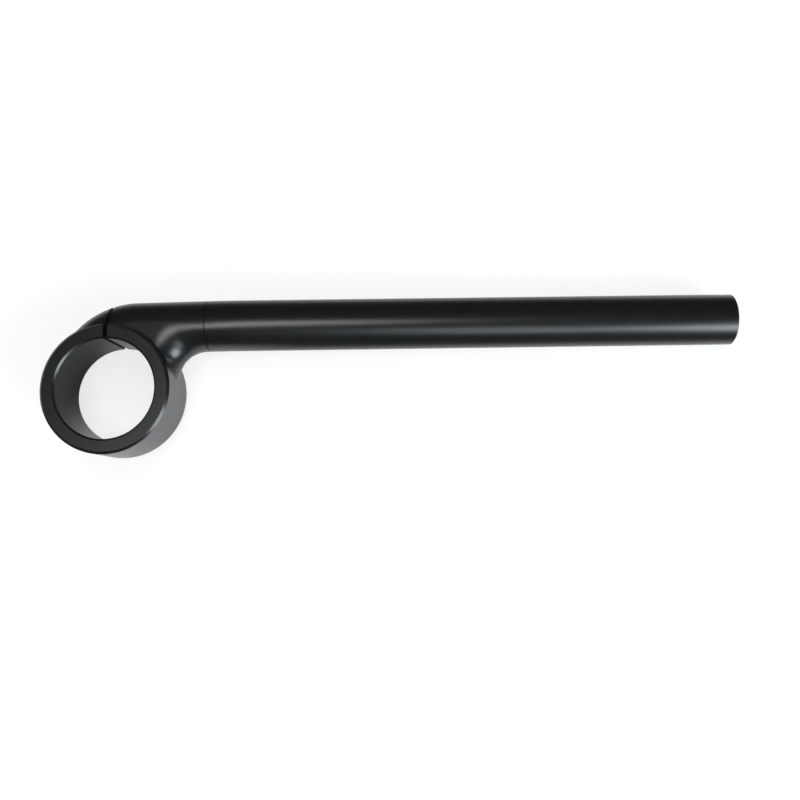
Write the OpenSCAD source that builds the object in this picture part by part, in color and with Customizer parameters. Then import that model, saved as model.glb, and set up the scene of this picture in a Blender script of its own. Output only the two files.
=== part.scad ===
// Clip-on handlebar for a motorcycle fork: a split clamp with a round arm, a bent
// handlebar tube fitted on the arm's spigot, and the screw that pinches the clamp.
// Units are millimetres. The origin is the middle of the fork bore, +Z is the fork
// axis towards the face that looks up, and +X is the way the bar leaves the clamp.

/* [Clamp ring] */
// Diameter of the fork leg that the clamp grips
fork_d = 43; // [37:0.5:54]
// Radial wall of the clamp ring
ring_wall = 6.5; // [5.5:0.25:9]
// Height of the clamp ring along the fork leg
ring_h = 28; // [26:0.5:40]
// Chamfer round the outside of both faces of the ring
rim_chamfer = 1.1; // [0.4:0.1:1.5]
// Chamfer at both mouths of the fork bore
bore_chamfer = 0.8; // [0.3:0.1:1.5]
// Width of the slit that lets the ring close
slit_w = 2; // [1:0.1:3]

/* [Arm] */
// Outer diameter of the handlebar tube and of the arm that carries it
bar_d = 22.2; // [21:0.1:23]
// How far the bar's axis lies outside the wall of the ring
bar_out = 0.2; // [-1:0.1:2]
// Distance from the slit to the place where the straight arm turns into the shoulder
shoulder_x = 10.5; // [9:0.25:13]
// Radius of the inside corner between the arm and the ring
elbow_r = 13; // [9:0.25:16]
// Straight length of the arm between the elbow and the seam
stub_len = 1.2; // [0.6:0.1:10]
// Diameter of the spigot that enters the tube
spigot_d = 16; // [14:0.1:17]
// Length of the spigot
spigot_len = 12; // [10:0.5:17]
// Chamfer on the edges that meet at the seam
seam_chamfer = 0.15; // [0.1:0.05:0.4]

/* [Handlebar tube] */
// Wall of the handlebar tube
tube_wall = 3.5; // [2.5:0.1:4]
// Angle by which the bar droops away from the arm
bend_deg = 4; // [1:0.5:8]
// Radius of the bend, at the tube's axis
bend_r = 200; // [120:5:260]
// Straight length of the tube beyond the bend, which holds the grip and the levers
grip_len = 216; // [180:1:260]
// Chamfer on the edges of the tube's open end
end_chamfer = 0.5; // [0.2:0.1:1]
// Gap all round the spigot, filled by the bond
bond_gap = 0.05; // [0.03:0.01:0.2]
// Gap between the two faces that meet at the seam
seam_gap = 0.02; // [0.01:0.01:0.1]

/* [Pinch screw] */
// Diameter of the screw's thread
screw_d = 6; // [5:1:6]
// Length of the screw under its head
screw_len = 20; // [16:1:25]
// Diameter of the screw's head
head_d = 10; // [8.5:0.5:10]
// Height of the screw's head
head_h = 6; // [4:0.5:6]
// Size of the hexagon socket, across its flats
hex_af = 5; // [4:0.5:5]
// Depth of the hexagon socket
hex_depth = 3; // [2:0.25:3.5]
// Thickness of the clamp between the slit and the seat of the head
seat_wall = 3.5; // [3:0.25:4.5]
// Gap all round the head in its counterbore
head_gap = 0.5; // [0.3:0.1:1]
// Gap all round the shank in the ear that it passes through
shank_gap = 0.3; // [0.2:0.05:0.5]
// Thinnest web between the counterbore and the fork bore
bore_web = 0.8; // [0.6:0.1:2]

/* [Hidden] */
$fn = 96;

fork_r = fork_d / 2;
ring_r = fork_r + ring_wall;
bar_r = bar_d / 2;
bar_y = ring_r + bar_out;

// The shoulder is an arc that leaves the arm's far side and runs into the ring's wall.
// It ends a little way inside that wall, at the point furthest from the arm.
shoulder_bury = 0.5;
shoulder_top = bar_y + bar_r;
shoulder_base = ring_r - shoulder_bury;
shoulder_r = (pow(shoulder_x, 2) + pow(shoulder_top, 2) - pow(shoulder_base, 2))
    / (2 * (shoulder_top - shoulder_base));
shoulder_y = shoulder_top - shoulder_r;
shoulder_axis_r = shoulder_r - bar_r;
shoulder_sweep = 90 + atan2(shoulder_y, shoulder_x);

// The elbow is an arc that touches the arm's near side and the ring's wall.
elbow_bury = 0.1;
elbow_y = bar_y - bar_r - elbow_r;
elbow_x = sqrt(pow(ring_r + elbow_r - elbow_bury, 2) - pow(elbow_y, 2));
elbow_sweep = 90 + atan2(elbow_y, elbow_x);
elbow_axis_r = elbow_r + bar_r;
seam_x = elbow_x + stub_len;

// The web fills the corner between arm, elbow and ring. Its faces lie a hair below the
// crests of the arm and the elbow. It stops short of the point where they meet, and its
// two halves overlap where the shoulder starts.
web_h = bar_d - 0.04;
web_x = elbow_x - 3;
web_lap = 2;

// The tube's bore, the place where its bend ends, and the socket at its root for the spigot.
tube_r = bar_r - tube_wall;
root_x = seam_x + seam_gap;
bend_end_x = root_x + bend_r * sin(bend_deg);
bend_end_z = -bend_r * (1 - cos(bend_deg));
socket_r = spigot_d / 2 + bond_gap;
socket_floor = 0.5;
socket_len = spigot_len + socket_floor;
spigot_lead = 0.8;

// The screw lies along X, beside the fork bore.
head_r = head_d / 2;
counterbore_r = head_r + head_gap;
screw_y = fork_r + bore_web + counterbore_r;
seat_x = -slit_w / 2 - seat_wall;
thread_gap = 0.05;
thread_end = 1.5;
screw_edge = 0.5;
cut = 1;

// A round bar along +X, with a chamfer at its far end
module x_bar(radius, length, chamfer) {
    rotate([0, 90, 0]) {
        cylinder(r = radius, h = length - chamfer);
        translate([0, 0, length - chamfer]) cylinder(r1 = radius, r2 = radius - chamfer, h = chamfer);
    }
}

// A round hole along +X
module x_hole(radius, from_x, to_x, at_y) {
    translate([from_x, at_y, 0]) rotate([0, 90, 0]) cylinder(r = radius, h = to_x - from_x);
}

// What a chamfer takes off the edge of a round face that looks down. The side is 1 on the
// outside of a bar and -1 at the mouth of a bore.
module edge_cut(radius, chamfer, side) {
    rotate_extrude() polygon([
        [radius - side * (chamfer + cut), -cut],
        [radius + side * cut, chamfer + cut],
        [radius + side * cut, -cut]
    ]);
}

// A round bar that starts at the origin and bends from -X towards -Y
module bent_bar(radius, axis_r, sweep) {
    translate([0, -axis_r, 0]) rotate([0, 0, 90]) rotate_extrude(angle = sweep)
        translate([axis_r, 0]) circle(r = radius);
}

module ring_blank() {
    rotate_extrude() polygon([
        [0, -ring_h / 2],
        [ring_r - rim_chamfer, -ring_h / 2],
        [ring_r, -ring_h / 2 + rim_chamfer],
        [ring_r, ring_h / 2 - rim_chamfer],
        [ring_r - rim_chamfer, ring_h / 2],
        [0, ring_h / 2]
    ]);
}

// The bore for the fork leg, with its two chamfered mouths
module fork_bore() {
    cylinder(r = fork_r, h = ring_h + 2 * cut, center = true);
    for (turn = [0, 180]) rotate([turn, 0, 0]) translate([0, 0, -ring_h / 2])
        edge_cut(fork_r, bore_chamfer, -1);
}

module web_outline() {
    difference() {
        union() {
            translate([shoulder_x + web_lap, 0]) square([web_x - shoulder_x - web_lap, bar_y]);
            intersection() {
                translate([shoulder_x, shoulder_y]) circle(r = shoulder_axis_r);
                translate([-ring_r, 0]) square([ring_r + shoulder_x + 2 * web_lap, bar_y]);
            }
        }
        translate([elbow_x, elbow_y]) circle(r = elbow_axis_r);
    }
}

// The round arm, its shoulder and elbow, the web between them, and the spigot
module arm() {
    translate([shoulder_x, bar_y, 0]) x_bar(bar_r, seam_x - shoulder_x, seam_chamfer);
    translate([shoulder_x, bar_y, 0]) bent_bar(bar_r, shoulder_axis_r, shoulder_sweep);
    translate([elbow_x, bar_y, 0]) bent_bar(bar_r, elbow_axis_r, elbow_sweep);
    translate([0, 0, -web_h / 2]) linear_extrude(web_h) web_outline();
    translate([seam_x - cut, bar_y, 0]) x_bar(spigot_d / 2, spigot_len + cut, spigot_lead);
}

// The clamp is one machined piece: ring, shoulder with the screw's seat, arm and spigot
module clamp() {
    color([0.09, 0.095, 0.1])
    difference() {
        union() {
            ring_blank();
            arm();
        }
        fork_bore();
        translate([-slit_w / 2, 0, -ring_h]) cube([slit_w, shoulder_top + cut, 2 * ring_h]);
        x_hole(counterbore_r, -2 * ring_r, seat_x, screw_y);
        x_hole(screw_d / 2 + shank_gap, seat_x - cut, 0, screw_y);
        x_hole(screw_d / 2 + thread_gap, 0, seat_x + screw_len + thread_end, screw_y);
    }
}

// The tube in its own frame: the straight length runs along +X from the origin, and the
// bend runs back from there. A bore is longer by extra at the open end.
module tube_path(radius, extra) {
    rotate([0, 90, 0]) cylinder(r = radius, h = grip_len + extra);
    rotate([90, 0, 0]) bent_bar(radius, bend_r, bend_deg);
}

// The handlebar tube, with the socket for the spigot at its root
module bar_tube() {
    color([0.085, 0.09, 0.095])
    difference() {
        translate([bend_end_x, bar_y, bend_end_z]) rotate([0, bend_deg, 0]) difference() {
            tube_path(bar_r, 0);
            tube_path(tube_r, cut);
            translate([grip_len, 0, 0]) rotate([0, -90, 0]) {
                edge_cut(bar_r, end_chamfer, 1);
                edge_cut(tube_r, end_chamfer, -1);
            }
        }
        x_hole(socket_r, seam_x - cut, seam_x + socket_len, bar_y);
        translate([root_x, bar_y, 0]) rotate([0, 90, 0]) edge_cut(bar_r, seam_chamfer, 1);
    }
}

// Socket-head cap screw, pointing along +X
module pinch_screw() {
    color([0.78, 0.78, 0.76])
    translate([seat_x, screw_y, 0]) rotate([0, 90, 0]) difference() {
        rotate_extrude() polygon([
            [0, -head_h],
            [head_r - screw_edge, -head_h],
            [head_r, -head_h + screw_edge],
            [head_r, 0],
            [screw_d / 2, 0],
            [screw_d / 2, screw_len - screw_edge],
            [screw_d / 2 - screw_edge, screw_len],
            [0, screw_len]
        ]);
        translate([0, 0, -head_h - cut]) cylinder(d = hex_af / cos(30), h = hex_depth + cut, $fn = 6);
    }
}

clamp();
bar_tube();
pinch_screw();
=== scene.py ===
import math
from contextlib import contextmanager

import bmesh
import bpy
from mathutils import Matrix, Vector


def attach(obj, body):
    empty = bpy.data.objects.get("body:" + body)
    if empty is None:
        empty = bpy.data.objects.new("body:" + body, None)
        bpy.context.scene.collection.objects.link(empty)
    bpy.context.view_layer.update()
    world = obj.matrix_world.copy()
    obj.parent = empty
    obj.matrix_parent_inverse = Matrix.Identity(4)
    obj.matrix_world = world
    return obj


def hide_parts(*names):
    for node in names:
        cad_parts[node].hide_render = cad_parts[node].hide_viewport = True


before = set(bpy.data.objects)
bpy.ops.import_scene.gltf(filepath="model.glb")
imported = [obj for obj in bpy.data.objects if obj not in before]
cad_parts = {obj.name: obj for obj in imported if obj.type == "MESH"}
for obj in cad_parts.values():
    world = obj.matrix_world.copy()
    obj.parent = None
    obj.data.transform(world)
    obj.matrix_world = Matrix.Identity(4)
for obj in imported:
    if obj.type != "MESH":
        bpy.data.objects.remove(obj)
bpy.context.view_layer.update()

bl_info = {
    "name": "Clip-on Handlebar",
    "version": (1, 0, 0),
    "blender": (4, 5, 0),
    "location": "3D View > Sidebar > Clip-on",
    "description": "Models a clip-on motorcycle handlebar, its finishes and a small photo stage",
    "category": "Object",
}

MM = 0.001

# ------------------------------------------------------------------ fixed details

# How close two corners are that count as one, and how loosely a corner is found by its place
FINE = 1e-6
LOOSE = 1e-5
# A hair that keeps two faces out of one plane, and a distance that is clear of the whole clamp
HAIR = 0.005 * MM
CLEAR = 60 * MM

# Sides of the ring, of the arm and the tube, of the corner along the elbow's crest, of turned
# shapes and of small holes
RING_SIDES = 240
BAR_SIDES = 128
CREST_SIDES = 192
TURNED_SIDES = 96
HOLE_SIDES = 64
# Steps of the shoulder, of the elbow, of the tube's bend and of its bore round the bend
SHOULDER_STEPS = 56
ELBOW_STEPS = 64
BEND_STEPS = 12
BORE_STEPS = 6

# How far the arcs of the shoulder and of the elbow end inside the ring's wall
SHOULDER_BURY = 0.5 * MM
ELBOW_BURY = 0.1 * MM
# A rounded edge of a chamfer: the sine of 45 degrees, and where the middle of the edge lies
SLANT = 0.7071
EDGE_ALONG, EDGE_ACROSS = 0.3, 0.1
# How much thinner the web is than the arm, how far it reaches back under the shoulder, and how
# close it comes to the fork's axis
WEB_DROP = 0.02 * MM
WEB_LAP = 2 * MM
WEB_BASE = 14 * MM
# How flat the half of the elbow is that lies inside the arm, and how close a width has to be to
# the arm's own to be left as it is
ELBOW_FLAT = 0.5
ELBOW_SAME = 0.0005
# How softly the elbow's crest runs into its fall, and the angle in radians at which that ends
CREST_BLEND = 0.5 * MM
CREST_FALL_END = 0.75
# Chamfer at the spigot's end, and the room behind it at the socket's floor
SPIGOT_LEAD = 0.8 * MM
SOCKET_FLOOR = 0.5 * MM
# The slit's walls, sawn and rougher, and darkened with painted shade: how far past its walls
# this reaches, and from what distance to the fork's axis
SAWN_SHADED_PAST = 0.02 * MM
SAWN_SHADED_FROM = 20 * MM

# Profiles on the screw in millimetres: the crown of its head as distances from its face and in
# from its side, the underside as distances from the seat and in from the side, the mouth of the
# hexagon as distances from the face and out from the flats, and the tip as distances from the
# end and in from the core
CROWN = ((0, 0.9), (0.12, 0.55), (0.6, 0.03), (0.9, 0))
UNDERSIDE = ((0.5, 0), (0.25, 0.12), (0, 0.3))
HEX_MOUTH = ((-0.5, 1.1), (0.35, 0.25))
TIP = ((0.2, 0), (0, 0.3))
# Straight knurls: sides of the head, which of them are pressed in, how far, and where they end
KNURL_SIDES = 144
KNURL_EVERY = 3
KNURL_SCALE = 0.965
KNURL_ENDS = (0.8 * MM, 0.4 * MM)
# Distances from the seat at which the plain shank ends, the thread's core starts and the
# thread's ridge starts
SHANK_END, CORE_START, RIDGE_START = 2.2 * MM, 2.7 * MM, 2 * MM
# The thread's depth, and half its width at the top and at the root, as shares of the pitch
THREAD_DEPTH = 0.613
THREAD_TOP, THREAD_ROOT = 0.0625, 0.49
# How deep the ridge is sunk into the core, and its steps for each turn
THREAD_SINK = 0.3 * MM
THREAD_STEPS = 40
# Where the ridge is trimmed: from its start, and before the tip, where its chamfer starts and
# ends, and how deep that chamfer goes
TRIM_START = 0.2 * MM
TRIM_CHAMFER, TRIM_END, TRIM_DEPTH = 1.5 * MM, 0.1 * MM, 0.6 * MM
# Faces that meet at a smaller angle are shaded as one, in degrees
CLAMP_SMOOTH, TUBE_SMOOTH, SCREW_SMOOTH = 24, 30, 28

# How bright the clamp's and the tube's black are beside the set colour, how far the dye varies,
# and how much the mottle and the grain change the roughness
CLAMP_SHADE, TUBE_SHADE = 1.0, 0.95
DYE_SPREAD = 0.15
SHEEN_MOTTLE, SHEEN_GRAIN = 0.05, 0.06
# The slit's walls: their colour, a painted shade, and how much rougher the sawn walls are
SLIT_PAINTED_SHADE = (0.001, 0.001, 0.0012, 1.0)
SAWN_DULLER = 0.3
# The turned steel: depth of its rings, how fine its smudges are, how they bend the rings, dull
# and darken the steel, its roughness, and what the rings add to that
TURNED_DEPTH = 0.0015 * MM
SMUDGE_SCALE, SMUDGE_BEND, SMUDGE_DULL, SMUDGE_DARK = 900.0, 6.0, 0.12, 0.9
STEEL_ROUGHNESS, RING_ROUGHNESS = 0.22, 0.02

# Where the lamps point, and each lamp's place, width, height and the setting of its power
LAMP_TARGET = (0.08, 0.028, 0)
LAMPS = {
    "overhead_lamp": ((-0.135, -0.11, 1.5), 0.42, 0.8, "key_power"),
    "left_pane": ((0.333, -0.724, 0.689), 0.28, 0.55, "left_pane_power"),
    "right_pane": ((0.824, -0.553, 0.46), 0.58, 0.52, "right_pane_power"),
    "fill_lamp": ((0.1, 0.68, 1.13), 0.9, 0.9, "fill_power"),
}
# The camera's own directions: to its right, and from its target back to it
CAMERA_RIGHT = (0.99856, -0.01732, -0.05075)
CAMERA_BACK = (0.04819, -0.12531, 0.99095)
# The floor's white for matt light, and the painted shade that metal mirrors in its place
PAPER_WHITE, PAPER_PAINTED_DARK = 0.93, 0.1
# Painted shade in the mirrored floor under the bore, where the ring shades it: the round's
# middle, radius, soft rim and strength
BORE_SHADE_PLACE = (-13 * MM, 6 * MM, 0)
BORE_SHADE_R, BORE_SHADE_FADE, BORE_SHADE_DEPTH = 21 * MM, 14 * MM, 0.55
# How much slower the mirrored floor turns to painted shade beyond the bar, and the distance
# from the fork at which the floor starts to turn into plain white
FADE_BEYOND = 0.6
PLAIN_FROM = 0.45


# ------------------------------------------------------------------ finishes

class Channel:
    """One socket of a node tree, which can be used in sums and products of Python."""

    def __init__(self, tree, socket=None):
        self.tree = tree
        self.socket = socket

    def node(self, kind, settings=None, inputs=None, output=0):
        """Adds a node, sets it up, feeds its sockets and gives back one of its outputs."""
        made = self.tree.nodes.new(kind)
        for name, value in (settings or {}).items():
            setattr(made, name, value)
        for name, value in (inputs or {}).items():
            socket = made.inputs[name]
            if isinstance(value, Channel):
                self.tree.links.new(value.socket, socket)
            else:
                socket.default_value = value
        return Channel(self.tree, made.outputs[output])

    def also(self, output):
        """Another output of the node that this one comes from."""
        return Channel(self.tree, self.socket.node.outputs[output])

    def maths(self, operation, *values):
        """A sum, a product or a comparison of numbers and channels."""
        return self.node("ShaderNodeMath", {"operation": operation}, dict(enumerate(values)))

    def vector(self, operation, *values, output="Vector"):
        """The same for vectors, or a length."""
        return self.node(
            "ShaderNodeVectorMath", {"operation": operation}, dict(enumerate(values)), output)

    def blend(self, factor, low, high):
        """A colour between two others."""
        return self.node("ShaderNodeMix", {"data_type": "RGBA"}, {
            "Factor": factor, "A": low, "B": high}, output=2)

    def held(self):
        """The same channel, held between nought and one."""
        return self.maths("MINIMUM", self.maths("MAXIMUM", self, 0.0), 1.0)

    def __add__(self, other):
        return self.maths("ADD", self, other)

    def __sub__(self, other):
        return self.maths("SUBTRACT", self, other)

    def __rsub__(self, other):
        return self.maths("SUBTRACT", other, self)

    def __mul__(self, other):
        return self.maths("MULTIPLY", self, other)

    def __truediv__(self, other):
        return self.maths("DIVIDE", self, other)

    __radd__ = __add__
    __rmul__ = __mul__


def new_finish(name):
    """An empty material, and a channel to build on."""
    material = bpy.data.materials.new(name)
    material.use_nodes = True
    material.node_tree.nodes.clear()
    return material, Channel(material.node_tree)


def close_finish(channel, shader):
    """Adds the material's output and links the last shader to it."""
    output = channel.tree.nodes.new("ShaderNodeOutputMaterial")
    channel.tree.links.new(shader.socket, output.inputs["Surface"])


def black_anodised(look, name, shade, sawn_and_shaded=None):
    """Bead-blasted aluminium, dyed black: a fine grain and a satin sheen that varies a little.

    The last argument holds two places along X. Between them the walls are sawn: duller, and painted
    shade darkens them."""
    material, start = new_finish(name)
    place = start.node("ShaderNodeTexCoord", output="Object")
    grain = start.node("ShaderNodeTexNoise", inputs={
        "Vector": place, "Scale": 1 / look.grain, "Detail": 2.0, "Roughness": 0.6}, output="Fac")
    mottle = start.node("ShaderNodeTexNoise", inputs={
        "Vector": place, "Scale": 1 / look.mottle, "Detail": 3.0, "Roughness": 0.55}, output="Fac")
    bump = start.node("ShaderNodeBump", inputs={
        "Strength": 1.0, "Distance": look.grain_depth, "Height": grain})
    roughness = look.roughness + (mottle - 0.5) * SHEEN_MOTTLE + (grain - 0.5) * SHEEN_GRAIN
    tint = start.blend(
        mottle,
        (*[c * shade * (1 - DYE_SPREAD) for c in look.anodise], 1.0),
        (*[c * shade * (1 + DYE_SPREAD) for c in look.anodise], 1.0))
    # the slit's walls between these places: rougher where sawn, and a painted shade darker in
    # colour
    if sawn_and_shaded:
        along = start.node("ShaderNodeSeparateXYZ", inputs={"Vector": place}, output="X")
        out = along.also("Y")
        in_slit = (start.maths("GREATER_THAN", along, sawn_and_shaded[0])
                   * start.maths("LESS_THAN", along, sawn_and_shaded[1])
                   * start.maths("GREATER_THAN", out, SAWN_SHADED_FROM))
        roughness = roughness + in_slit * SAWN_DULLER
        tint = start.blend(in_slit, tint, SLIT_PAINTED_SHADE)
    shader = start.node("ShaderNodeBsdfPrincipled", inputs={
        "Base Color": tint, "Roughness": roughness, "Normal": bump, "IOR": 1.5})
    close_finish(start, shader)
    return material


def stainless(look, name, axis_y):
    """Bright stainless steel, with the fine rings that a lathe leaves round the screw's axis."""
    material, start = new_finish(name)
    place = start.node("ShaderNodeTexCoord", output="Object")
    smudge = start.node("ShaderNodeTexNoise", inputs={
        "Vector": place, "Scale": SMUDGE_SCALE, "Detail": 3.0}, output="Fac")
    from_axis = start.vector("SUBTRACT", place, (0, axis_y, 0))
    across = start.vector("MULTIPLY", from_axis, (0, 1, 1))
    radius = start.vector("LENGTH", across, output="Value")
    phase = radius * (2 * math.pi / look.turning) + smudge * SMUDGE_BEND
    rings = start.maths("SINE", phase)
    bump = start.node("ShaderNodeBump", inputs={
        "Strength": 1.0, "Distance": TURNED_DEPTH, "Height": rings})
    tone = start.blend(
        smudge, (*[c * SMUDGE_DARK for c in look.steel], 1.0), (*look.steel, 1.0))
    roughness = STEEL_ROUGHNESS + (smudge - 0.5) * SMUDGE_DULL + (rings + 1) * RING_ROUGHNESS
    shader = start.node("ShaderNodeBsdfPrincipled", inputs={
        "Base Color": tone, "Metallic": 1.0, "Roughness": roughness, "Normal": bump})
    close_finish(start, shader)
    return material


# ------------------------------------------------------------------ properties

def length(name, description, millimetres):
    """A setting that is a length."""
    return bpy.props.FloatProperty(
        name=name, description=description, unit="LENGTH", precision=5, default=millimetres * MM)


class ClipOnClamp(bpy.types.PropertyGroup):
    fork_d: length("Fork", "Diameter of the fork leg that the clamp grips", 43)
    ring_wall: length("Ring Wall", "Radial wall of the clamp ring", 6.5)
    ring_h: length("Ring Height", "Height of the ring along the fork leg", 28)
    rim_chamfer: length("Rim Chamfer", "Chamfer round the outside of both faces", 1.1)
    bore_chamfer: length("Bore Chamfer", "Chamfer at both mouths of the bore", 0.8)
    slit_w: length("Slit", "Width of the slit that lets the ring close", 2)
    bar_d: length("Arm", "Diameter of the arm, the same as the bar's", 22.2)
    bar_y: length("Bar Offset", "Distance from the fork's axis to the bar's axis", 28.2)
    shoulder_x: length("Shoulder Start", "Where the straight arm turns into the shoulder", 10.5)
    elbow_r: length("Elbow", "Radius of the inside corner between the arm and the ring", 13)
    crest_r: length("Elbow Crest", "Radius of the corner along the elbow's crest", 9)
    crest_fall: length(
        "Crest Fall", "How fast the elbow narrows towards the ring, for each radian", 10)
    crest_run: length("Crest Run", "How far the arm's crest runs on past the elbow's centre", 11.6)
    stub_len: length("Stub", "Straight length between the elbow and the seam", 1.2)
    seam_width: length("Seam Width", "Width of the chamfer on both edges at the seam", 0.17)
    seam_depth: length("Seam Depth", "Depth of that chamfer", 0.3)
    spigot_d: length("Spigot", "Diameter of the spigot that enters the tube", 16)
    spigot_len: length("Spigot Length", "Length of the spigot", 12)
    deburr: length("Deburr", "Rounding left on the machined edges", 0.12)


class ClipOnTube(bpy.types.PropertyGroup):
    wall: length("Wall", "Wall of the handlebar tube", 3.5)
    bend: bpy.props.FloatProperty(
        name="Bend", description="Angle by which the bar droops",
        unit="ROTATION", default=math.radians(4))
    bend_r: length("Bend Radius", "Radius of the bend, at the tube's axis", 200)
    grip_len: length("Grip Length", "Straight length beyond the bend", 216)
    end_chamfer: length("End Chamfer", "Chamfer on the edges of the open end", 0.5)
    seam_gap: length("Seam Gap", "Gap between the two faces at the seam", 0.02)
    bond_gap: length("Bond Gap", "Gap all round the spigot", 0.05)


class ClipOnScrew(bpy.types.PropertyGroup):
    thread_d: length("Thread", "Diameter of the screw's thread", 6)
    pitch: length("Pitch", "Pitch of the thread", 1)
    under_head: length("Length", "Length of the screw under its head", 20)
    head_d: length("Head", "Diameter of the head", 10)
    head_h: length("Head Height", "Height of the head", 6)
    hex_af: length("Hexagon", "Size of the hexagon socket, across its flats", 5)
    hex_depth: length("Hexagon Depth", "Depth of the hexagon socket", 3)
    seat_wall: length("Seat Wall", "Thickness of the clamp between the slit and the seat", 3.5)
    place_y: length("Place", "Distance from the fork's axis to the screw's axis", 27.8)
    counterbore_d: length("Counterbore", "Diameter of the counterbore for the head", 11)
    clearance_d: length("Clearance", "Diameter of the hole that the shank passes", 6.6)
    tapped_d: length("Tapped Hole", "Diameter of the tapped hole", 6.1)
    tapped_end: length("Tapped End", "Where the tapped hole ends", 17)


class ClipOnLook(bpy.types.PropertyGroup):
    anodise: bpy.props.FloatVectorProperty(
        name="Anodise", description="Colour of the black anodised surface",
        subtype="COLOR", size=3, min=0, max=1, default=(0.0046, 0.0056, 0.0058))
    roughness: bpy.props.FloatProperty(
        name="Roughness", description="Roughness of the anodised surface",
        subtype="FACTOR", min=0, max=1, default=0.29)
    grain: length("Grain", "Size of the blasted grain", 0.3)
    grain_depth: length("Grain Depth", "Depth of the blasted grain", 0.008)
    mottle: length("Mottle", "Size of the soft variation in the sheen", 9)
    steel: bpy.props.FloatVectorProperty(
        name="Steel", description="Colour of the stainless screw",
        subtype="COLOR", size=3, min=0, max=1, default=(0.62, 0.61, 0.59))
    turning: length("Turning", "Spacing of the fine rings on the turned screw", 0.18)


class ClipOnStage(bpy.types.PropertyGroup):
    rim_contact: bpy.props.FloatVectorProperty(
        name="Rim Contact", description="Where the ring's lower rim touches the floor",
        subtype="XYZ", unit="LENGTH", size=3, default=(-22.2 * MM, 15.19 * MM, -14 * MM))
    end_contact: bpy.props.FloatVectorProperty(
        name="End Contact", description="Where the open end of the bar touches the floor",
        subtype="XYZ", unit="LENGTH", size=3, default=(270.07 * MM, 28.2 * MM, -26.6 * MM))
    floor_size: bpy.props.FloatProperty(
        name="Floor Size", description="Side of the square floor", unit="LENGTH", default=24.0)
    floor_glow: bpy.props.FloatProperty(
        name="Floor Glow", description="How much of the floor's white doesn't depend on the lamps",
        subtype="FACTOR", min=0, max=1, default=0.7)
    # Painted light: a glow that the floor has only in metal's reflections, near the ring
    mirror_painted_glow: bpy.props.FloatProperty(
        name="Mirrored Glow", description="The floor's glow as metal mirrors it",
        subtype="FACTOR", min=0, max=1, default=0.35)
    room: bpy.props.FloatProperty(
        name="Room", description="Brightness of the room as metal mirrors it",
        min=0, max=1, default=0.06)
    fill: bpy.props.FloatProperty(
        name="Fill", description="Brightness of the room as matt surfaces receive it",
        min=0, max=1, default=0.25)
    key_power: bpy.props.FloatProperty(
        name="Overhead Lamp", description="Power of the soft lamp overhead",
        unit="POWER", default=7.6)
    left_pane_power: bpy.props.FloatProperty(
        name="Left Pane", description="Power of the window lamp's dimmer pane",
        unit="POWER", default=1.6)
    right_pane_power: bpy.props.FloatProperty(
        name="Right Pane", description="Power of the window lamp's brighter pane",
        unit="POWER", default=10.5)
    window_tint: bpy.props.FloatVectorProperty(
        name="Window Tint", description="Colour of the window lamp's light",
        subtype="COLOR", size=3, min=0, max=2, default=(0.9, 1.0, 1.04))
    fill_power: bpy.props.FloatProperty(
        name="Fill Lamp", description="Power of the fill lamp, which surfaces don't mirror",
        unit="POWER", default=8.0)
    # Painted light and shade in reflections: within these distances metal mirrors the floor bright,
    # farther off it is painted dark
    near_bar: length("Near Bar", "How far from the bar the floor is bright in mirrored light", 12)
    near_ring: length(
        "Near Ring", "How far from the fork's axis the floor is bright in mirrored light", 48)
    fade: length("Fade", "Over what distance the mirrored floor falls off", 38)
    camera_place: bpy.props.FloatVectorProperty(
        name="Camera", description="Where the camera stands",
        subtype="XYZ", unit="LENGTH", size=3, default=(0.14371, -0.05572, 0.39083))
    lens: bpy.props.FloatProperty(
        name="Lens", description="Focal length in millimetres, on a sensor 36 mm wide",
        default=41.256)


# ------------------------------------------------------------------ workshop

def deselect():
    """Leaves nothing selected."""
    bpy.ops.object.select_all(action="DESELECT")


def added(name):
    """Names the piece that was just added, and gives it back."""
    piece = bpy.context.object
    piece.name = name
    return piece


def take(piece):
    """Makes one piece the only selected and active one."""
    deselect()
    piece.select_set(True)
    bpy.context.view_layer.objects.active = piece


def settle(piece):
    """Puts a piece's place, turn and scale into its mesh."""
    take(piece)
    bpy.ops.object.transform_apply(location=True, rotation=True, scale=True)
    return piece


@contextmanager
def bench(piece):
    """Edit mode on one piece, with nothing selected at first."""
    take(piece)
    bpy.ops.object.mode_set(mode="EDIT")
    bpy.ops.mesh.select_mode(type="VERT")
    bpy.ops.mesh.select_all(action="DESELECT")
    yield
    bpy.ops.object.mode_set(mode="OBJECT")


def pick(test):
    """Selects the corners whose place passes the test."""
    piece = bpy.context.edit_object
    bpy.ops.mesh.select_all(action="DESELECT")
    mesh = bmesh.from_edit_mesh(piece.data)
    for corner in mesh.verts:
        if test(corner.co):
            corner.select_set(True)
    mesh.select_flush(True)
    bmesh.update_edit_mesh(piece.data)


def near(value, target):
    """Whether two lengths agree."""
    return abs(value - target) < 2 * FINE


def disc(name, radius, at, sides=BAR_SIDES, filled=True):
    """A disc that stands square to X, as the start of a turned shape."""
    deselect()
    bpy.ops.mesh.primitive_circle_add(
        vertices=sides, radius=radius, fill_type="NGON" if filled else "NOTHING",
        location=at, rotation=(0, math.pi / 2, 0))
    return settle(added(name))


def turn_along_x(steps, centre):
    """Extrudes the selected round through (x, scale) steps along X, as a lathe would."""
    for along, scale in steps:
        bpy.ops.mesh.extrude_region_move(TRANSFORM_OT_translate={"value": (along, 0, 0)})
        if scale != 1:
            bpy.ops.transform.resize(value=(1, scale, scale), center_override=centre)


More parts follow.
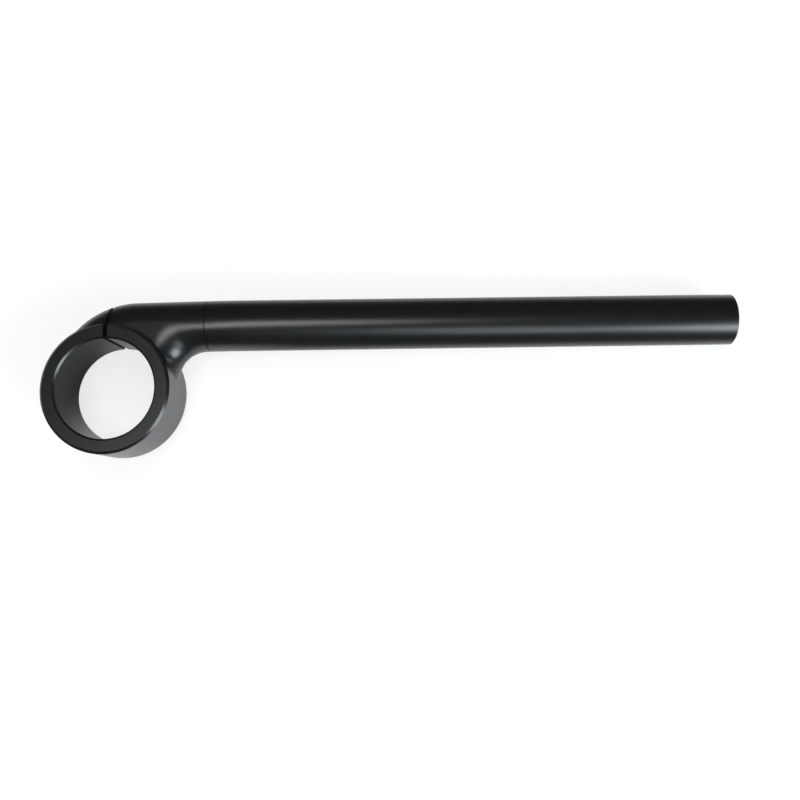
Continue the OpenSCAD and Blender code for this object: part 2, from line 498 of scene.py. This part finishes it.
def x_rod(name, profile, centre, sides=TURNED_SIDES):
    """A closed round along X from (x, radius) pairs, centred on a line at (y, z)."""
    (x, radius), *others = profile
    piece = disc(name, radius, (x, *centre), sides)
    with bench(piece):
        bpy.ops.mesh.select_all(action="SELECT")
        for next_x, next_radius in others:
            turn_along_x([(next_x - x, next_radius / radius)], (0, *centre))
            x, radius = next_x, next_radius
        bpy.ops.mesh.select_all(action="SELECT")
        bpy.ops.mesh.normals_make_consistent(inside=False)
    return piece


def z_round(name, upper):
    """A closed round about the fork's axis, from the (z, radius) pairs of its upper half."""
    piece = x_rod(name, [(-z, radius) for z, radius in upper] + upper[::-1], (0, 0), RING_SIDES)
    piece.rotation_euler = (0, -math.pi / 2, 0)
    return settle(piece)


def sweep(angle, centre, steps, axis=(0, 0, 1)):
    """Spins the selection by an angle about an axis, anticlockwise when seen from its tip."""
    bpy.ops.mesh.spin(steps=steps, dupli=False, angle=-angle, center=centre, axis=axis)


def tidy(piece):
    """Merges doubles and points every face outwards."""
    with bench(piece):
        bpy.ops.mesh.select_all(action="SELECT")
        bpy.ops.mesh.remove_doubles(threshold=FINE)
        bpy.ops.mesh.normals_make_consistent(inside=False)
    return piece


def combine(piece, tool, operation):
    """Joins a second closed piece to the first, or cuts with it, and uses it up."""
    take(piece)
    bpy.ops.object.modifier_add(type="BOOLEAN")
    modifier = piece.modifiers[-1]
    modifier.operation = operation
    modifier.solver = "EXACT"
    modifier.object = tool
    bpy.ops.object.modifier_apply(modifier=modifier.name)
    take(tool)
    bpy.ops.object.delete()
    return piece


def box(name, low, high):
    """A block between two corners."""
    deselect()
    centre = [(a + b) / 2 for a, b in zip(low, high)]
    bpy.ops.mesh.primitive_cube_add(
        size=1, location=centre, scale=[b - a for a, b in zip(low, high)])
    return settle(added(name))


def upright(name, radius, height, centre, sides):
    """A cylinder that stands along Z, centred on a point."""
    deselect()
    bpy.ops.mesh.primitive_cylinder_add(
        vertices=sides, radius=radius, depth=height, location=centre)
    return settle(added(name))


def smooth(piece, degrees):
    """Smooth shading with the machined edges kept crisp."""
    take(piece)
    bpy.ops.object.shade_smooth_by_angle(angle=math.radians(degrees))
    bpy.ops.object.modifier_add(type="WEIGHTED_NORMAL")
    modifier = piece.modifiers[-1]
    modifier.keep_sharp = True
    modifier.weight = 100
    bpy.ops.object.modifier_apply(modifier=modifier.name)


def fit(piece, finish, node):
    """Gives a finished piece its material and puts it in the place of its CAD node."""
    piece.data.materials.clear()
    piece.data.materials.append(finish)
    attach(piece, "root")
    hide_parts(node)


# ------------------------------------------------------------------ pieces

def elbow_centre(c):
    """The centre of the elbow's arc, which touches the arm's near side and the ring's wall."""
    centre_y = c.bar_y - c.bar_d / 2 - c.elbow_r
    reach = c.fork_d / 2 + c.ring_wall + c.elbow_r - ELBOW_BURY
    return math.sqrt(reach ** 2 - centre_y ** 2), centre_y


def crest_centre(c, elbow_x):
    """The centre of the corner along the elbow's crest."""
    return elbow_x - c.crest_run, c.bar_y - c.crest_r


def seat_place(c, s):
    """Where along X the screw's head rests."""
    return -c.slit_w / 2 - s.seat_wall


class CLIPON_OT_clamp(bpy.types.Operator):
    """Model the split clamp with its round arm, shoulder, elbow, web and spigot"""
    bl_idname = "clipon.clamp"
    bl_label = "Build Clamp"

    def execute(self, context):
        c, s = context.scene.clipon_clamp, context.scene.clipon_screw
        fork_r, bar_r = c.fork_d / 2, c.bar_d / 2
        ring_r = fork_r + c.ring_wall
        shoulder = self.shoulder(c, ring_r, bar_r)
        elbow_x, elbow_y = elbow_centre(c)
        body = self.ring(c, ring_r)
        combine(body, self.arm(c, bar_r, shoulder, elbow_x), "UNION")
        combine(body, self.web(c, shoulder, elbow_x), "UNION")
        combine(body, self.elbow(c, bar_r, elbow_x, elbow_y), "UNION")
        combine(body, self.bore_tool(c, fork_r), "DIFFERENCE")
        half = c.slit_w / 2
        slit = box("slit_tool", (-half, 0, -c.ring_h), (half, CLEAR, c.ring_h))
        combine(body, slit, "DIFFERENCE")
        seat_x = seat_place(c, s)
        for name, start_x, end_x, across, sides in (
                ("counterbore_tool", -CLEAR, seat_x, s.counterbore_d, TURNED_SIDES),
                ("clearance_tool", seat_x - MM, 0, s.clearance_d, HOLE_SIDES),
                ("tapped_tool", 0, s.tapped_end, s.tapped_d, HOLE_SIDES)):
            hole = x_rod(name, [(start_x, across / 2), (end_x, across / 2)], (s.place_y, 0), sides)
            combine(body, hole, "DIFFERENCE")
        tidy(body)
        body.name = "clamp_body"
        smooth(body, CLAMP_SMOOTH)
        # the slit's walls are made rougher and painted darker as shade, a little past their edges
        edge = half + SAWN_SHADED_PAST
        finish = black_anodised(
            context.scene.clipon_look, "clamp_black", CLAMP_SHADE, (-edge, edge))
        fit(body, finish, "clamp")
        return {"FINISHED"}

    def ring(self, c, ring_r):
        """The ring's blank: a thick disc, both faces chamfered and their edges lightly rounded."""
        half, cut, d = c.ring_h / 2, c.rim_chamfer, c.deburr
        slant = d * SLANT
        return z_round("ring", [
            (half, ring_r - cut - d),
            (half - EDGE_ALONG * slant, ring_r - cut - EDGE_ACROSS * slant),
            (half - slant, ring_r - cut + slant),
            (half - cut + slant, ring_r - slant),
            (half - cut + EDGE_ACROSS * slant, ring_r - EDGE_ALONG * slant),
            (half - cut - d, ring_r)])

    def bore_tool(self, c, fork_r):
        """The round tool that cuts the fork bore and its two chamfered mouths."""
        half, cut, d = c.ring_h / 2, c.bore_chamfer, c.deburr
        slant = d * SLANT
        return z_round("bore_tool", [
            (half + MM, fork_r + cut + MM),
            (half - cut + slant, fork_r + slant),
            (half - cut + EDGE_ACROSS * slant, fork_r + EDGE_ALONG * slant),
            (half - cut - d, fork_r)])

    def shoulder(self, c, ring_r, bar_r):
        """The shoulder's arc: how far out its centre is, the radius of its axis, and its sweep."""
        top, base = c.bar_y + bar_r, ring_r - SHOULDER_BURY
        radius = (c.shoulder_x ** 2 + top ** 2 - base ** 2) / (2 * (top - base))
        centre_y = top - radius
        return centre_y, radius - bar_r, math.pi / 2 + math.atan2(centre_y, c.shoulder_x)

    def arm(self, c, bar_r, shoulder, elbow_x):
        """Shoulder, straight arm and spigot in one swept and turned shape."""
        centre_y, _, angle = shoulder
        neck_r, spigot_r = bar_r - c.seam_depth, c.spigot_d / 2
        arm = disc("arm", bar_r, (c.shoulder_x, c.bar_y, 0), filled=False)
        with bench(arm):
            bpy.ops.mesh.select_all(action="SELECT")
            sweep(angle, (c.shoulder_x, centre_y, 0), SHOULDER_STEPS)
            bpy.ops.mesh.edge_face_add()
            pick(lambda p: near(p.x, c.shoulder_x) and p.y > c.bar_y - bar_r - LOOSE)
            turn_along_x([
                (elbow_x - c.shoulder_x, 1),
                (c.stub_len - c.seam_width, 1),
                (c.seam_width, neck_r / bar_r),
                (0, spigot_r / neck_r),
                (c.spigot_len - SPIGOT_LEAD, 1),
                (SPIGOT_LEAD, (spigot_r - SPIGOT_LEAD) / spigot_r)], (0, c.bar_y, 0))
            bpy.ops.mesh.edge_face_add()
        return tidy(arm)

    def web(self, c, shoulder, elbow_x):
        """The flat web that fills the corner, hollowed along the elbow's crest."""
        centre_y, axis_r, angle = shoulder
        height = c.bar_d - WEB_DROP
        crest_x, crest_y = crest_centre(c, elbow_x)
        block = box("web", (c.shoulder_x - WEB_LAP, WEB_BASE, -height / 2),
                    (crest_x, c.bar_y, height / 2))
        hollow = upright("crest_tool", c.crest_r, 2 * c.ring_h, (crest_x, crest_y, 0), CREST_SIDES)
        combine(block, hollow, "DIFFERENCE")
        deselect()
        bpy.ops.mesh.primitive_plane_add(
            size=1, location=(c.shoulder_x, centre_y + axis_r / 2, 0), rotation=(0, math.pi / 2, 0))
        sector = added("shoulder_web")
        sector.scale = (height, axis_r, 1)
        settle(sector)
        with bench(sector):
            bpy.ops.mesh.select_all(action="SELECT")
            sweep(angle, (c.shoulder_x, centre_y, 0), SHOULDER_STEPS)
        return combine(block, tidy(sector), "UNION")

    def elbow(self, c, bar_r, elbow_x, elbow_y):
        """A swept oval whose inner side widens round the corner, from the arm into the ring."""
        elbow = disc("elbow", bar_r - HAIR, (elbow_x, c.bar_y, 0))
        centre = Vector((elbow_x, elbow_y, 0))
        crest_x, crest_y = crest_centre(c, elbow_x)
        crest = (crest_x - elbow_x, crest_y - elbow_y)
        angle = math.pi / 2 + math.atan2(elbow_y, elbow_x)
        with bench(elbow):
            pick(lambda p: p.y > c.bar_y + FINE)
            bpy.ops.transform.resize(
                value=(1, ELBOW_FLAT, 1), center_override=(elbow_x, c.bar_y, 0))
            bpy.ops.mesh.select_all(action="SELECT")
            sweep(angle, centre, ELBOW_STEPS)
            for step in range(1, ELBOW_STEPS + 1):
                turned = math.pi / 2 + angle * step / ELBOW_STEPS
                ray = Vector((math.cos(turned), math.sin(turned), 0))
                width = self.crest_reach(c, ray, crest, c.bar_y - elbow_y) - c.elbow_r
                if abs(width - bar_r) < ELBOW_SAME * bar_r:
                    continue
                side = Vector((-ray.y, ray.x, 0))
                pick(lambda p: abs((p - centre).dot(side)) < FINE and (p - centre).dot(ray) > 0)
                bpy.ops.transform.resize(
                    value=(width / bar_r, 1, 1), orient_type="GLOBAL",
                    orient_matrix=Matrix((ray, side, (0, 0, 1))).transposed(),
                    orient_matrix_type="GLOBAL", center_override=centre + ray * (c.elbow_r + HAIR))
        return tidy(elbow)

    def crest_reach(self, c, ray, crest, arm_line):
        """How far the crest lies from the elbow's centre, along a ray.

        It follows the arm's straight crest, then the round corner, then the steady fall."""
        # a ray that points away from the arm never meets the arm's crest
        to_line = arm_line / ray.y if ray.y > 0 else 1.0
        if ray.x * to_line > crest[0]:
            return to_line
        along = crest[0] * ray.x + crest[1] * ray.y
        inside = along ** 2 - (crest[0] ** 2 + crest[1] ** 2 - c.crest_r ** 2)
        to_arc = along + math.sqrt(max(inside, 0))
        past = math.atan2(crest[0] * ray.y - crest[1] * ray.x, along)
        least = 0
        if past > 0:
            least = (math.hypot(*crest) + c.crest_r - CREST_BLEND
                     - c.crest_fall * min(past, CREST_FALL_END))
        apart = abs(to_arc - least)
        return max(to_arc, least) + max(CREST_BLEND - apart, 0) ** 2 / (4 * CREST_BLEND)


class CLIPON_OT_tube(bpy.types.Operator):
    """Model the bent handlebar tube with its socket for the spigot"""
    bl_idname = "clipon.tube"
    bl_label = "Build Tube"

    def execute(self, context):
        c, t = context.scene.clipon_clamp, context.scene.clipon_tube
        root_x = elbow_centre(c)[0] + c.stub_len + t.seam_gap
        pivot = (root_x, c.bar_y, -t.bend_r)
        droop = Vector((math.cos(t.bend), 0, -math.sin(t.bend)))
        bar_r, tube_r = c.bar_d / 2, c.bar_d / 2 - t.wall
        tube = disc("tube", bar_r - c.seam_depth, (root_x, c.bar_y, 0), filled=False)
        with bench(tube):
            self.outside(tube, c, t, pivot, droop, bar_r, tube_r)
        with bench(tube):
            self.socket(tube, c, t, pivot, droop, tube_r)
        tidy(tube)
        tube.name = "bar"
        smooth(tube, TUBE_SMOOTH)
        finish = black_anodised(context.scene.clipon_look, "tube_black", TUBE_SHADE)
        fit(tube, finish, "bar_tube")
        return {"FINISHED"}

    def outside(self, tube, c, t, pivot, droop, bar_r, tube_r):
        """Takes the round from the seam round the bend to the open end, and back down the bore."""
        bpy.ops.mesh.select_all(action="SELECT")
        turn_along_x([(c.seam_width, bar_r / (bar_r - c.seam_depth))], (0, c.bar_y, 0))
        sweep(t.bend - c.seam_width / t.bend_r, pivot, BEND_STEPS, axis=(0, 1, 0))
        square = Matrix((droop, (0, 1, 0), (math.sin(t.bend), 0, math.cos(t.bend)))).transposed()
        cut, radius = t.end_chamfer, bar_r
        for distance, next_radius in (
                (t.grip_len - cut, bar_r), (cut, bar_r - cut), (0, tube_r + cut),
                (-cut, tube_r), (cut - t.grip_len, tube_r)):
            bpy.ops.mesh.extrude_region_move(TRANSFORM_OT_translate={"value": droop * distance})
            if next_radius != radius:
                scale = next_radius / radius
                bpy.ops.transform.resize(
                    value=(1, scale, scale), orient_type="GLOBAL", orient_matrix=square,
                    orient_matrix_type="GLOBAL", center_override=self.middle(tube))
            radius = next_radius

    def socket(self, tube, c, t, pivot, droop, tube_r):
        """Takes the bore back round the bend, then opens the socket for the spigot."""
        root_x, socket_r = pivot[0], c.spigot_d / 2 + t.bond_gap
        floor_x = root_x - t.seam_gap + c.spigot_len + SOCKET_FLOOR
        bend_end = Vector((root_x + t.bend_r * math.sin(t.bend), c.bar_y,
                           -t.bend_r * (1 - math.cos(t.bend))))
        pick(lambda p: (p - bend_end).length < tube_r + 2 * LOOSE
             and abs((p - bend_end).dot(droop)) < LOOSE)
        back = math.asin((floor_x - root_x) / t.bend_r) - t.bend
        sweep(back, pivot, BORE_STEPS, axis=(0, 1, 0))
        middle = self.middle(tube)
        # square up the round, move it on to the arm's axis, widen it into the socket, take it
        # back to the seam, and close the face there
        bpy.ops.transform.resize(value=(0, 1, 1), center_override=(floor_x, 0, 0))
        bpy.ops.mesh.extrude_region_move(TRANSFORM_OT_translate={"value": (0, 0, -middle.z)})
        scale = socket_r / tube_r
        bpy.ops.transform.resize(value=(1, scale, scale), center_override=(0, c.bar_y, 0))
        bpy.ops.mesh.extrude_region_move(
            TRANSFORM_OT_translate={"value": (root_x - floor_x, 0, 0)})
        pick(lambda p: near(p.x, root_x))
        bpy.ops.mesh.bridge_edge_loops()

    def middle(self, tube):
        """The middle of the selected round."""
        mesh = bmesh.from_edit_mesh(tube.data)
        chosen = [v.co for v in mesh.verts if v.select]
        return sum(chosen, Vector()) / len(chosen)


class CLIPON_OT_screw(bpy.types.Operator):
    """Model the knurled socket-head screw with its thread"""
    bl_idname = "clipon.screw"
    bl_label = "Build Screw"

    def execute(self, context):
        c, s = context.scene.clipon_clamp, context.scene.clipon_screw
        seat_x = seat_place(c, s)
        face_x, tip_x = seat_x - s.head_h, seat_x + s.under_head
        head_r, shank_r = s.head_d / 2, s.thread_d / 2
        core_r = shank_r - THREAD_DEPTH * s.pitch
        line = (s.place_y, 0)
        profile = [(face_x + behind * MM, head_r - inside * MM) for behind, inside in CROWN]
        profile += [(seat_x - before * MM, head_r - inside * MM) for before, inside in UNDERSIDE]
        profile += [
            (seat_x, shank_r), (seat_x + SHANK_END, shank_r), (seat_x + CORE_START, core_r)]
        profile += [(tip_x - before * MM, core_r - inside * MM) for before, inside in TIP]
        head = x_rod("head", profile, line, KNURL_SIDES)
        self.knurl(head, line, face_x + KNURL_ENDS[0], seat_x - KNURL_ENDS[1])
        corner_r, flat_r = s.hex_af / math.sqrt(3), s.hex_af / 2
        socket = x_rod("socket_tool", [
            (face_x - MM, corner_r), (face_x + s.hex_depth, corner_r)], line, 6)
        mouth = x_rod("mouth_tool", [
            (face_x + behind * MM, flat_r + outside * MM) for behind, outside in HEX_MOUTH], line)
        combine(socket, mouth, "UNION")
        combine(head, socket, "DIFFERENCE")
        combine(head, self.thread(s, seat_x + RIDGE_START, tip_x, shank_r, core_r), "UNION")
        tidy(head)
        head.name = "screw"
        smooth(head, SCREW_SMOOTH)
        finish = stainless(context.scene.clipon_look, "screw_steel", s.place_y)
        fit(head, finish, "pinch_screw")
        return {"FINISHED"}

    def knurl(self, head, line, low_x, high_x):
        """Presses in every third line of the head's side, between two places along X."""
        pitch = 2 * math.pi / KNURL_SIDES
        with bench(head):
            for step in range(0, KNURL_SIDES, KNURL_EVERY):
                turned = step * pitch
                pick(lambda p: low_x < p.x < high_x and abs(math.remainder(
                    math.atan2(p.z, p.y - line[0]) - turned, 2 * math.pi)) < pitch / 3)
                bpy.ops.transform.resize(
                    value=(1, KNURL_SCALE, KNURL_SCALE), center_override=(0, *line))

    def thread(self, s, start_x, tip_x, shank_r, core_r):
        """A helical ridge of the standard form, trimmed at both ends and chamfered at the tip."""
        deselect()
        bpy.ops.mesh.primitive_plane_add(
            size=1, location=(start_x, s.place_y, core_r), rotation=(math.pi / 2, 0, 0))
        ridge = settle(added("ridge"))
        with bench(ridge):
            for side in (-1, 1):
                for half_width, height in ((THREAD_ROOT, core_r - THREAD_SINK),
                                           (THREAD_TOP, shank_r)):
                    is_top = height > core_r
                    pick(lambda p: (p.x - start_x) * side > 0 and (p.z > core_r) == is_top)
                    target = Vector((start_x + s.pitch * half_width * side, s.place_y, height))
                    corners = bmesh.from_edit_mesh(ridge.data).verts
                    here = next(v.co.copy() for v in corners if v.select)
                    bpy.ops.transform.translate(value=target - here)
            bpy.ops.mesh.select_all(action="SELECT")
            bpy.ops.mesh.delete(type="ONLY_FACE")
        bpy.ops.object.empty_add(location=(0, s.place_y, 0))
        axis = added("screw_axis")
        take(ridge)
        bpy.ops.object.modifier_add(type="SCREW")
        modifier = ridge.modifiers[-1]
        modifier.axis = "X"
        modifier.object = axis
        modifier.angle = 2 * math.pi
        modifier.steps = modifier.render_steps = THREAD_STEPS
        modifier.screw_offset = s.pitch
        modifier.iterations = int((tip_x - start_x) / s.pitch) + 1
        modifier.use_merge_vertices = False
        bpy.context.view_layer.update()
        bpy.ops.object.modifier_apply(modifier=modifier.name)
        take(axis)
        bpy.ops.object.delete()
        with bench(ridge):
            bpy.ops.mesh.select_all(action="SELECT")
            bpy.ops.mesh.select_non_manifold(extend=False)
            bpy.ops.mesh.edge_face_add()
        tidy(ridge)
        trim = x_rod("trim", [
            (start_x + TRIM_START, shank_r + MM), (tip_x - TRIM_CHAMFER, shank_r + MM),
            (tip_x - TRIM_END, shank_r - TRIM_DEPTH)], (s.place_y, 0), HOLE_SIDES)
        return combine(ridge, trim, "INTERSECT")


# ------------------------------------------------------------------ stage

def soft_lamp(name, place, across, along, power):
    """A soft lamp that looks at the clip-on. It isn't seen by the camera itself."""
    deselect()
    rotation = (Vector(LAMP_TARGET) - Vector(place)).to_track_quat("-Z", "Y").to_matrix()
    bpy.ops.object.light_add(type="AREA", location=place, rotation=rotation.to_euler())
    lamp = added(name)
    lamp.data.shape = "RECTANGLE"
    lamp.data.size = across
    lamp.data.size_y = along
    lamp.data.energy = power
    lamp.visible_camera = False
    return lamp


class CLIPON_OT_stage(bpy.types.Operator):
    """Set up the floor, the lamps, the room and the camera"""
    bl_idname = "clipon.stage"
    bl_label = "Build Stage"

    def execute(self, context):
        s = context.scene.clipon_stage
        self.floor(s, context.scene.clipon_clamp.bar_y)
        self.room(context, s)
        lamps = {name: soft_lamp(name, place, across, along, getattr(s, power))
                 for name, (place, across, along, power) in LAMPS.items()}
        for name in ("left_pane", "right_pane"):
            lamps[name].data.color = s.window_tint
        lamps["fill_lamp"].visible_glossy = False
        self.camera(context, s)
        context.scene.view_settings.view_transform = "Standard"
        return {"FINISHED"}

    def floor(self, s, bar_y):
        """The floor goes through the two places at which the clip-on rests on it."""
        rim, end = Vector(s.rim_contact), Vector(s.end_contact)
        along_rim = Vector((rim.y, -rim.x, 0))
        up = along_rim.cross(end - rim)
        up = up.normalized() * (1 if up.z > 0 else -1)
        deselect()
        bpy.ops.mesh.primitive_plane_add(size=s.floor_size)
        floor = added("floor")
        turn = Vector((0, 0, 1)).rotation_difference(up).to_matrix().to_4x4()
        floor.data.transform(Matrix.Translation(rim) @ turn)
        floor.data.materials.append(self.white_floor(s, bar_y))

    def camera(self, context, s):
        """The camera, set square from its two directions."""
        right, back = Vector(CAMERA_RIGHT).normalized(), Vector(CAMERA_BACK).normalized()
        upward = back.cross(right).normalized()
        right = upward.cross(back)
        rotation = Matrix((right, upward, back)).transposed()
        deselect()
        bpy.ops.object.camera_add(location=s.camera_place, rotation=rotation.to_euler())
        camera = added("camera")
        camera.data.sensor_width = 36
        camera.data.lens = s.lens
        camera.data.clip_start = 0.01
        context.scene.camera = camera

    def white_floor(self, s, bar_y):
        """White paper: it takes shadows, and glows a little so that it reads as white."""
        material, start = new_finish("white_floor")
        camera = start.node("ShaderNodeLightPath", output="Is Camera Ray")
        glossy, clear = camera.also("Is Glossy Ray"), camera.also("Is Transmission Ray")
        place = start.node("ShaderNodeNewGeometry", output="Position")
        across = start.node("ShaderNodeSeparateXYZ", inputs={"Vector": place}, output="Y")
        from_bar = start.maths("MAXIMUM", bar_y - across, (across - bar_y) * FADE_BEYOND)
        flat = start.vector("MULTIPLY", place, (1, 1, 0))
        from_fork = start.vector("LENGTH", flat, output="Value")
        from_spot = start.vector("DISTANCE", flat, BORE_SHADE_PLACE, output="Value")
        # Painted shade: a dark round in the mirrored floor under the bore
        shade = ((BORE_SHADE_R - from_spot) / BORE_SHADE_FADE).held()
        # Painted shade in reflections: the mirrored floor turns dark away from the bar and the ring
        away = ((from_fork - s.near_ring) / s.fade).held()
        beyond = start.maths("MINIMUM", (from_bar - s.near_bar) / s.fade, away).held()
        dim = glossy * start.maths("MAXIMUM", beyond, shade * BORE_SHADE_DEPTH)
        afar = (from_fork - PLAIN_FROM).held()
        seen = (camera + clear) * (s.floor_glow + (1 - s.floor_glow) * afar)
        # Painted light in reflections: the floor glows brighter near the ring, outside the painted
        # shade
        mirrored = glossy * s.mirror_painted_glow * (1 - away) * (1 - shade)
        glow = start.maths("MINIMUM", seen + mirrored, 1.0)
        whites = [(level, level, level, 1) for level in (PAPER_WHITE, PAPER_PAINTED_DARK)]
        matt = start.node("ShaderNodeBsdfDiffuse", inputs={"Color": start.blend(dim, *whites)})
        white = start.node("ShaderNodeEmission", inputs={"Color": (1, 1, 1, 1), "Strength": 1.0})
        close_finish(start, start.node("ShaderNodeMixShader", inputs={0: glow, 1: matt, 2: white}))
        return material

    def room(self, context, s):
        """The room: white to the camera, dim where it is mirrored, a soft fill for the rest."""
        world = bpy.data.worlds.new("room")
        context.scene.world = world
        world.use_nodes = True
        world.node_tree.nodes.clear()
        air = Channel(world.node_tree)
        camera = air.node("ShaderNodeLightPath", output="Is Camera Ray")
        level = s.fill + camera.also("Is Glossy Ray") * (s.room - s.fill)
        level = level + camera * (1.0 - level)
        background = air.node("ShaderNodeBackground", inputs={
            "Color": (1, 1, 1, 1), "Strength": level})
        output = world.node_tree.nodes.new("ShaderNodeOutputWorld")
        world.node_tree.links.new(background.socket, output.inputs["Surface"])


class CLIPON_PT_panel(bpy.types.Panel):
    """Lists the steps that build the clip-on and its stage"""
    bl_idname = "CLIPON_PT_panel"
    bl_label = "Clip-on"
    bl_space_type = "VIEW_3D"
    bl_region_type = "UI"
    bl_category = "Clip-on"

    def draw(self, context):
        scene, layout = context.scene, self.layout
        layout.use_property_split = True
        for group, operators in PANEL.items():
            column = layout.box().column()
            settings = getattr(scene, group)
            for name in settings.__annotations__:
                column.prop(settings, name)
            for each in operators:
                column.operator(each)


PANEL = {
    "clipon_clamp": ["clipon.clamp"],
    "clipon_tube": ["clipon.tube"],
    "clipon_screw": ["clipon.screw"],
    "clipon_look": [],
    "clipon_stage": ["clipon.stage"],
}
GROUPS = {
    "clipon_clamp": ClipOnClamp,
    "clipon_tube": ClipOnTube,
    "clipon_screw": ClipOnScrew,
    "clipon_look": ClipOnLook,
    "clipon_stage": ClipOnStage,
}
CLASSES = (
    *GROUPS.values(), CLIPON_OT_clamp, CLIPON_OT_tube, CLIPON_OT_screw, CLIPON_OT_stage,
    CLIPON_PT_panel)


def register():
    """Makes the settings, the steps and the panel known to Blender."""
    for each in CLASSES:
        bpy.utils.register_class(each)
    for name, group in GROUPS.items():
        setattr(bpy.types.Scene, name, bpy.props.PointerProperty(type=group))


def unregister():
    """Takes them away again."""
    for name in GROUPS:
        delattr(bpy.types.Scene, name)
    for each in reversed(CLASSES):
        bpy.utils.unregister_class(each)


def main():
    """Builds every piece and the stage."""
    register()
    bpy.ops.clipon.clamp()
    bpy.ops.clipon.tube()
    bpy.ops.clipon.screw()
    bpy.ops.clipon.stage()


if __name__ == "__main__":
    main()
